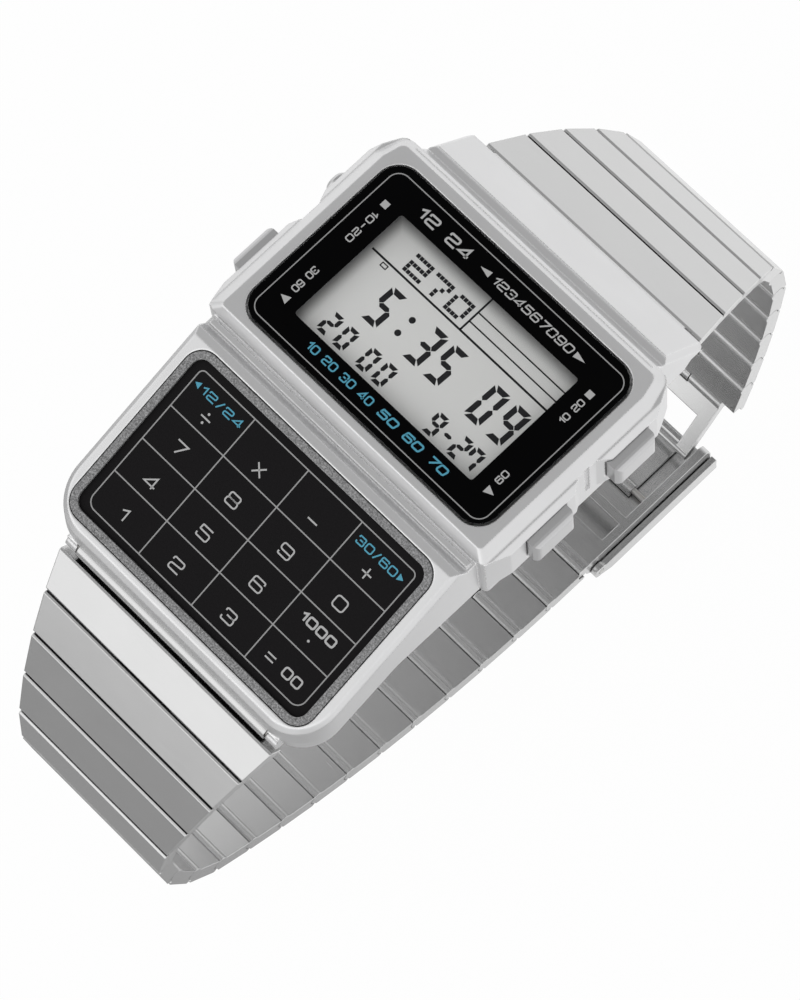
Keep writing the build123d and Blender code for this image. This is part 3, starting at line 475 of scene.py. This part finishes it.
def disc(x, y, radius, count=20):
    turns = [2 * math.pi * step / count for step in range(count)]
    return [(x + radius * math.cos(turn), y + radius * math.sin(turn)) for turn in turns]


def rounded(points, radii, closed=False, steps=6):
    # the same run of points with each corner turned on an arc; radii has one entry for each point
    count = len(points)
    run = []
    for index, (x, y) in enumerate(points):
        if radii[index] == 0 or (not closed and index in (0, count - 1)):
            run.append((x, y))
            continue
        here = Vector((x, y))
        back = Vector(points[index - 1]) - here
        ahead = Vector(points[(index + 1) % count]) - here
        half = back.angle(ahead) / 2
        reach = min(radii[index] / math.tan(half), back.length / 2, ahead.length / 2)
        start, end = here + back.normalized() * reach, here + ahead.normalized() * reach
        centre = here + (back.normalized() + ahead.normalized()).normalized() * reach / math.cos(half)
        for step in range(steps + 1):
            arm = (start - centre).lerp(end - centre, step / steps)
            run.append(tuple(centre + arm.normalized() * (start - centre).length))
    return run


sharpestTurn = 0.4  # a sharper corner than this doesn't reach out any further


def stroke(points, width, closed=False):
    # one ribbon of even width along a run of points, as quads
    count = len(points)
    left, right = [], []
    for index in range(count):
        here = Vector(points[index])
        before = Vector(points[index - 1]) if closed or index else None
        after = Vector(points[(index + 1) % count]) if closed or index < count - 1 else None
        into = (here - before).normalized() if before else (after - here).normalized()
        out = (after - here).normalized() if after else into
        along = (into + out).normalized()
        side = Vector((-along.y, along.x)) * width / 2 / max(sharpestTurn, along.dot(into))
        left.append(tuple(here + side))
        right.append(tuple(here - side))
    last = count if closed else count - 1
    return [[left[i], right[i], right[(i + 1) % count], left[(i + 1) % count]] for i in range(last)]


def plates(name, outlines, plane, thickness, finish):
    # flat closed plates of print on a plane given by its matrix; outlines are in millimetres
    made = bmesh.new()
    for outline in outlines:
        low = [made.verts.new((x * mm, y * mm, 0)) for x, y in outline]
        high = [made.verts.new((x * mm, y * mm, thickness)) for x, y in outline]
        made.faces.new(high)
        made.faces.new(low[::-1])
        for index in range(len(low)):
            after = (index + 1) % len(low)
            made.faces.new((low[index], low[after], high[after], high[index]))
    bmesh.ops.recalc_face_normals(made, faces=made.faces)
    made.transform(plane)
    piece = addPiece(made, name, finish)
    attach(piece, "case")


# strokes of each figure in a box one wide and one high with its middle at nought:
# points, corner rounding as shares of the height (one for all or one each), and whether the run closes;
# a colon stands for the division sign, and x for the multiplication sign
figureStrokes = {
    "0": [([(-.5, -.5), (.5, -.5), (.5, .5), (-.5, .5)], .26, True)],
    "1": [([(-.2, .2), (.26, .5), (.26, -.5)], 0, False)],
    "2": [([(-.5, .24), (-.5, .5), (.5, .5), (.5, .04), (-.5, -.06), (-.5, -.5), (.5, -.5)], .17, False)],
    "3": [([(-.48, .26), (-.48, .5), (.48, .5), (.48, .02), (-.22, .02)], .18, False),
          ([(.2, .02), (.5, .02), (.5, -.5), (-.5, -.5), (-.5, -.24)], .18, False)],
    "4": [([(.52, -.28), (-.5, -.28), (.3, .5), (.3, -.5)], 0, False)],
    "5": [([(.48, .5), (-.46, .5), (-.48, .08), (.5, .08), (.5, -.5), (-.5, -.5), (-.5, -.26)],
           (0, .04, .04, .18, .18, .15, 0), False)],
    "6": [([(.46, .28), (.46, .5), (-.5, .5), (-.5, -.5), (.5, -.5), (.5, .06), (-.46, .06)], .2, False)],
    "7": [([(-.5, .5), (.5, .5), (-.14, -.5)], 0, False)],
    "8": [([(-.5, -.5), (.5, -.5), (.5, .02), (-.5, .02)], .2, True),
          ([(-.46, .02), (.46, .02), (.46, .5), (-.46, .5)], .18, True)],
    "9": [([(-.46, -.28), (-.46, -.5), (.5, -.5), (.5, .5), (-.5, .5), (-.5, -.06), (.46, -.06)], .2, False)],
    "-": [([(-.4, 0), (.4, 0)], 0, False)],
    "+": [([(-.4, 0), (.4, 0)], 0, False), ([(0, -.4), (0, .4)], 0, False)],
    "x": [([(-.36, -.36), (.36, .36)], 0, False), ([(-.36, .36), (.36, -.36)], 0, False)],
    "=": [([(-.36, .16), (.36, .16)], 0, False), ([(-.36, -.16), (.36, -.16)], 0, False)],
    ":": [([(-.4, 0), (.4, 0)], 0, False)],
    "/": [([(-.3, -.55), (.3, .55)], 0, False)],
    ".": [], " ": [],
}
figureDots = {":": [(0, .34), (0, -.34)], ".": [(0, -.32)]}
dotRadius = 0.85  # in stroke widths
narrowFigures = {"1": 0.62, " ": 0.6, "/": 0.7}  # in widths of the others
figureGap = 0.34  # between figures of a row, in widths of one


def figure(character, x, y, wide, tall, weight, lean=0):
    # one printed figure, with its middle at x, y
    outlines = []
    for points, turnShare, closed in figureStrokes[character]:
        placed = [(x + px * wide + py * tall * lean, y + py * tall) for px, py in points]
        shares = turnShare if isinstance(turnShare, tuple) else [turnShare] * len(placed)
        run = rounded(placed, [share * tall for share in shares], closed)
        outlines += stroke(run, weight, closed)
    for px, py in figureDots.get(character, []):
        outlines.append(disc(x + px * wide, y + py * tall, weight * dotRadius, count=12))
    return outlines


def written(text, x, y, length, tall, weight, turn=0, lean=0):
    # a row of figures with its middle at x, y, spread over a length; turn swings the row, in quarters
    shares = [narrowFigures.get(character, 1) for character in text]
    unit = (length - weight) / (sum(shares) + figureGap * (len(text) - 1))
    outlines, at = [], -(length - weight) / 2
    for character, share in zip(text, shares):
        outlines += figure(character, at + unit * share / 2, 0, unit, tall - weight, weight, lean)
        at += unit * (share + figureGap)
    swing = Matrix.Rotation(turn * math.pi / 2, 2)
    middle = Vector((x, y))
    return [[tuple(middle + swing @ Vector(point)) for point in outline] for outline in outlines]


segmentLook = {
    "weight": 0.52, "widestShare": 0.29, "gap": 0.028, "cornerCut": 0.16, "waistPinch": 0.9,
    "slant": 0.045, "thickness": 0.012 * mm,
    # characters, left edge, foot, width of one figure, height, pitch
    "rows": [
        ("5", -6.78, -2.6, 1.78, 3.8, 0), ("35", -1.86, -2.6, 1.8, 3.8, 2.43),
        ("09", 5.52, -2.66, 1.8, 3.8, 2.5),
        ("20", -8.66, -5.98, 1.3, 2.22, 1.86), ("00", -4.06, -5.98, 1.3, 2.22, 1.86),
        ("9-27", 3.98, -6.05, 1.28, 2.2, 1.45),
    ],
    "colon": [(-3.32, 0.15), (-3.38, -1.48)], "colonRadius": 0.3,
    # both ends and the width
    "lines": [(-10.37, 2.35, 10.33, 2.35, 0.19), (0.09, 2.35, 0.09, 6.4, 0.18),
              (0.09, 4.51, 10.33, 4.51, 0.13), (0.09, 3.45, 10.33, 3.45, 0.13)],
    # middle, width, height and line width
    "boxMark": (-8.5, 1.9, 0.6, 0.36, 0.1),
    "matrixText": "270", "matrixLeft": -7.26, "matrixFoot": 2.75,
    "matrixCell": 0.405, "matrixDot": 0.36, "matrixPitch": 6,
}
segmentsOf = {
    "0": "abcdef", "2": "abged", "3": "abgcd", "5": "afgcd", "7": "fabc", "9": "abcdfg", "-": "g",
}
dotRows = {
    "2": ["11111", "00001", "11111", "10000", "11111"],
    "7": ["11111", "00001", "00010", "00100", "00100"],
    "0": ["01111", "10001", "10001", "10001", "11110"],
}


def segmentFigure(character, left, foot, width, height, look):
    # seven-segment figure: cut outer corners, pointed ends at the waist
    weight = min(look["weight"], width * look["widestShare"])
    gap, cut, half, waist = look["gap"], look["cornerCut"], weight / 2, height / 2
    inner, tip, pinch = weight + gap, half + 2 * gap, half * look["waistPinch"]

    def mirrored(points, across, up):
        return [(width - x if across else x, height - y if up else y) for x, y in points]

    side = [(0, height - cut - gap), (weight, height - inner), (weight, waist + half + gap),
            (half, waist + gap), (0, waist + half)]
    bar = [(cut + gap, height), (width - cut - gap, height), (width - inner, height - weight),
           (inner, height - weight)]
    middle = [(tip, waist), (inner, waist + pinch), (width - inner, waist + pinch),
              (width - tip, waist), (width - inner, waist - pinch), (inner, waist - pinch)]
    shapes = {
        "a": bar, "d": mirrored(bar, False, True), "g": middle,
        "f": side, "b": mirrored(side, True, False),
        "e": mirrored(side, False, True), "c": mirrored(side, True, True),
    }
    lit = [shapes[letter] for letter in segmentsOf[character]]
    return [[(left + x + y * look["slant"], foot + y) for x, y in points] for points in lit]


def dotMatrix(look):
    cell, size = look["matrixCell"], look["matrixDot"]
    outlines = []
    for place, character in enumerate(look["matrixText"]):
        for row, line in enumerate(reversed(dotRows[character])):
            for column, lit in enumerate(line):
                if lit == "1":
                    left = look["matrixLeft"] + (place * look["matrixPitch"] + column) * cell
                    foot = look["matrixFoot"] + row * cell
                    outlines.append(rectangle(left, foot, left + size, foot + size))
    return outlines


def displaySegments(look):
    outlines = dotMatrix(look)
    for text, left, foot, width, height, pitch in look["rows"]:
        for place, character in enumerate(text):
            outlines += segmentFigure(character, left + place * pitch, foot, width, height, look)
    outlines += [disc(x, y, look["colonRadius"]) for x, y in look["colon"]]
    for x0, y0, x1, y1, width in look["lines"]:
        outlines += stroke([(x0, y0), (x1, y1)], width)
    x, y, wide, tall, width = look["boxMark"]
    outlines += stroke(rectangle(x - wide / 2, y - tall / 2, x + wide / 2, y + tall / 2), width, True)
    plane = Matrix.Translation((0, 0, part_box("lcd_panel")[1][2]))
    plates("display_segments", outlines, plane, look["thickness"], segmentInk)


displaySegments(segmentLook)

glassPrint = {
    "thickness": 0.008 * mm, "line": (-13.54, -8.81, 13.79, 8.62), "lineWidth": 0.1, "corner": 1.15,
    "squares": [(-11.99, 5.52), (12.2, 5.55)], "squareSize": 0.66,
    # each pointer: left, right and middle height, way that it points
    "pointers": [(-12.42, -11.54, -6.2, -1), (11.96, 12.86, -6.2, 1)], "pointerHeight": 0.82,
    "arrows": [(-2.34, -1.2, 7.23, -1), (8.8, 9.95, 7.23, 1)], "arrowHeight": 0.62,
    # figures, middle, length, height, weight, turn in quarters, lean
    "whiteRows": [
        ("12 24", -6.6, 7.21, 6.1, 1.12, 0.2, 0, 0), ("1234567890", 3.85, 7.24, 9.3, 0.84, 0.135, 0, 0.22),
        ("10 20", 12.2, 3.45, 2.7, 0.68, 0.12, 1, 0), ("60", 12.22, -4.6, 1.3, 0.68, 0.12, 1, 0),
        ("10-20", -11.95, 2.8, 3.6, 0.68, 0.12, -1, 0), ("30 60", -11.92, -3.87, 2.8, 0.72, 0.12, -1, 0),
    ],
    "blueRows": [
        ("10 20 30 40", -3.83, -7.65, 7.7, 0.84, 0.14, 0, 0),
        ("50 60 70", 4.84, -7.62, 7.9, 0.82, 0.17, 0, 0.25),
    ],
}


def wedge(left, right, y, tall, way):
    # triangle that points left or right
    tip, back = (right, left) if way > 0 else (left, right)
    return [(tip, y), (back, y + tall / 2), (back, y - tall / 2)]


def glassMarks(look):
    plane = Matrix.Translation((0, 0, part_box("display_glass")[1][2]))
    line = rounded(rectangle(*look["line"]), [look["corner"]] * 4, closed=True, steps=10)
    plates("glass_line", stroke(line, look["lineWidth"], closed=True), plane, look["thickness"], softInk)
    half = look["squareSize"] / 2
    white = [rectangle(x - half, y - half, x + half, y + half) for x, y in look["squares"]]
    white += [wedge(left, right, y, look["pointerHeight"], way) for left, right, y, way in look["pointers"]]
    white += [wedge(left, right, y, look["arrowHeight"], way) for left, right, y, way in look["arrows"]]
    white += [outline for row in look["whiteRows"] for outline in written(*row)]
    plates("glass_marks", white, plane, look["thickness"], whiteInk)
    blue = [outline for row in look["blueRows"] for outline in written(*row)]
    plates("glass_blue_marks", blue, plane, look["thickness"], blueInk)


glassMarks(glassPrint)

keypadPrint = {
    "centreY": -22.12, "centreZ": 3.92, "tilt": 20.78, "thickness": 0.008 * mm,
    "frame": (-12.8, -7.47, 12.87, 7.56), "corners": (0.95, 0.95, 0.5, 0.5), "lineWidth": 0.115,
    "uprights": (-6.41, 0, 6.39), "levels": (3.46, -0.2, -3.81),
    "columns": (-9.71, -3.24, 3.13, 9.57), "rows": (4.69, 1.34, -2.33, -5.94),
    "keys": [":x-+", "7890", "456.", "123="],
    "figureWidth": 1.2, "figureHeight": 1.06, "signs": ":x-+=.", "signSize": 1.32, "weight": 0.145,
    "shifts": {"=": -1.46, ".": 0.06},
    # figures, middle, length, height, weight
    "whiteRows": [("1000", 9.59, -1.46, 4.06, 0.92, 0.19), ("00", 10.67, -5.93, 2.1, 0.98, 0.17)],
    "blueRows": [("12/24", -9.32, 6.34, 4.85, 0.8, 0.13), ("30/60", 9.25, 6.34, 4.55, 0.8, 0.13)],
    "arrows": [(-12.49, -11.93, 6.35, -1), (11.76, 12.33, 6.35, 1)], "arrowHeight": 0.66,
}


def keypadLines(look):
    width = look["lineWidth"]
    left, foot, right, top = look["frame"]
    line = rounded(rectangle(left, foot, right, top), look["corners"], closed=True, steps=8)
    outlines = stroke(line, width, closed=True)
    for level in look["levels"]:
        outlines += stroke([(left + width / 2, level), (right - width / 2, level)], width)
    stops = [top, *look["levels"], foot]
    for x in look["uprights"]:
        for high, low in zip(stops, stops[1:]):
            outlines += stroke([(x, high - width / 2), (x, low + width / 2)], width)
    return outlines


def keyFigures(look):
    outlines = []
    for y, text in zip(look["rows"], look["keys"]):
        for x, character in zip(look["columns"], text):
            wide, tall = look["figureWidth"], look["figureHeight"]
            if character in look["signs"]:
                wide = tall = look["signSize"]
            shift = look["shifts"].get(character, 0)
            outlines += figure(character, x + shift, y, wide, tall, look["weight"])
    return outlines


def keypadMarks(look):
    tilt = Matrix.Rotation(math.radians(look["tilt"]), 4, "X")
    plane = Matrix.Translation((0, look["centreY"] * mm, look["centreZ"] * mm)) @ tilt
    plates("keypad_lines", keypadLines(look), plane, look["thickness"], softInk)
    white = keyFigures(look) + [outline for row in look["whiteRows"] for outline in written(*row)]
    plates("keypad_figures", white, plane, look["thickness"], whiteInk)
    blue = [outline for row in look["blueRows"] for outline in written(*row)]
    blue += [wedge(left, right, y, look["arrowHeight"], way) for left, right, y, way in look["arrows"]]
    plates("keypad_blue_marks", blue, plane, look["thickness"], blueInk)


keypadMarks(keypadPrint)
print("printed marks made")

floorLook = {
    "size": 6, "gap": 0.2 * mm, "shade": (0.93, 0.93, 0.93), "light": (0.97, 0.97, 0.97), "mistScale": 3,
    "roughness": 0.9, "shine": 0.1, "glow": 0.97,
    "glowNear": 0.36, "glowFar": 1.0, "glowStart": -60 * mm, "glowEnd": 40 * mm,
}


def makeFloor(look):
    half = look["size"] / 2
    made = bmesh.new()
    made.faces.new([made.verts.new((x, y, 0)) for x, y in rectangle(-half, -half, half, half)])
    finish = Finish("pale floor", Roughness=look["roughness"], Specular_IOR_Level=look["shine"])
    finish.set(Base_Color=finish.blend(finish.noise(look["mistScale"]), look["shade"], look["light"]))
    camera, gloss, through = [
        finish.node("ShaderNodeLightPath", output=ray)
        for ray in ("Is Camera Ray", "Is Glossy Ray", "Is Transmission Ray")]
    # painted shade: in reflections the floor's glow falls off in front of the watch, standing for the shade
    # where no light reaches it
    y = finish.axes()[1]
    near, far = [
        finish.node("ShaderNodeEmission", None, {"Color": (1, 1, 1), "Strength": look[strength]})
        for strength in ("glowNear", "glowFar")]
    falling = y.fade(look["glowStart"], look["glowEnd"]).atLeast(camera)
    glow = finish.node("ShaderNodeMixShader", None, {0: falling, 1: near, 2: far})
    lit = Value(finish, finish.shader.outputs[0])
    glowing = (camera + gloss + through).atMost(1) * look["glow"]
    mixed = finish.node("ShaderNodeMixShader", None, {0: glowing, 1: lit, 2: glow})
    finish.feed(finish.tree.nodes["Material Output"].inputs["Surface"], mixed)
    floor = addPiece(made, "floor", finish)
    floor.location.z = cadBox[0][2] - look["gap"]


lampLook = {
    "name": "front softbox", "place": (-0.15, -0.76, 0.5), "target": (0, -0.01, -0.01),
    "size": 1.5, "power": 1.75,
}


def makeLamp(look):
    lamp = bpy.data.lights.new(look["name"], "AREA")
    lamp.size = look["size"]
    lamp.energy = look["power"]
    holder = bpy.data.objects.new(look["name"], lamp)
    holder.location = look["place"]
    aim = Vector(look["target"]) - holder.location
    holder.rotation_euler = aim.to_track_quat("-Z", "Y").to_euler()
    scene.collection.objects.link(holder)


# white walls that darken towards the ceiling; height is measured along the leaning direction
wallLook = {
    "horizon": 1.0, "horizonHeight": 0.3, "overhead": 0.42, "overheadHeight": 0.95,
    "leaning": (-0.1, 0.3, 0.95),
}


class Sky(Finish):
    # the world's nodes, fed in the same way
    def __init__(self, name):
        self.begin(bpy.data.worlds.new(name), "Background", "Generated")


def makeWorld(look):
    sky = Sky("studio")
    x, y, z = sky.axes()
    leanX, leanY, leanZ = look["leaning"]
    height = x * leanX + y * leanY + z * leanZ
    wall = height.fade(look["horizonHeight"], look["overheadHeight"], look["horizon"], look["overhead"])
    camera = sky.node("ShaderNodeLightPath", output="Is Camera Ray")
    sky.set(Strength=camera + (1 - camera) * wall, Color=(1, 1, 1))
    scene.world = sky.material


# where the photograph was taken from; the turn is in degrees
photoView = {
    "focalLength": 180, "sensor": 36, "nearest": 0.01, "furthest": 20,
    "place": (118.93 * mm, -92.55 * mm, 394.09 * mm), "turn": (19.390, 2.927, 45.800),
}


def makeCamera(look):
    lens = bpy.data.cameras.new("camera")
    lens.lens = look["focalLength"]
    lens.sensor_width = look["sensor"]
    lens.clip_start = look["nearest"]
    lens.clip_end = look["furthest"]
    camera = bpy.data.objects.new("camera", lens)
    camera.location = look["place"]
    camera.rotation_euler = [math.radians(turn) for turn in look["turn"]]
    scene.collection.objects.link(camera)
    scene.camera = camera


makeFloor(floorLook)
makeLamp(lampLook)
makeWorld(wallLook)
makeCamera(photoView)
scene.view_settings.view_transform = "Standard"
print("studio ready")
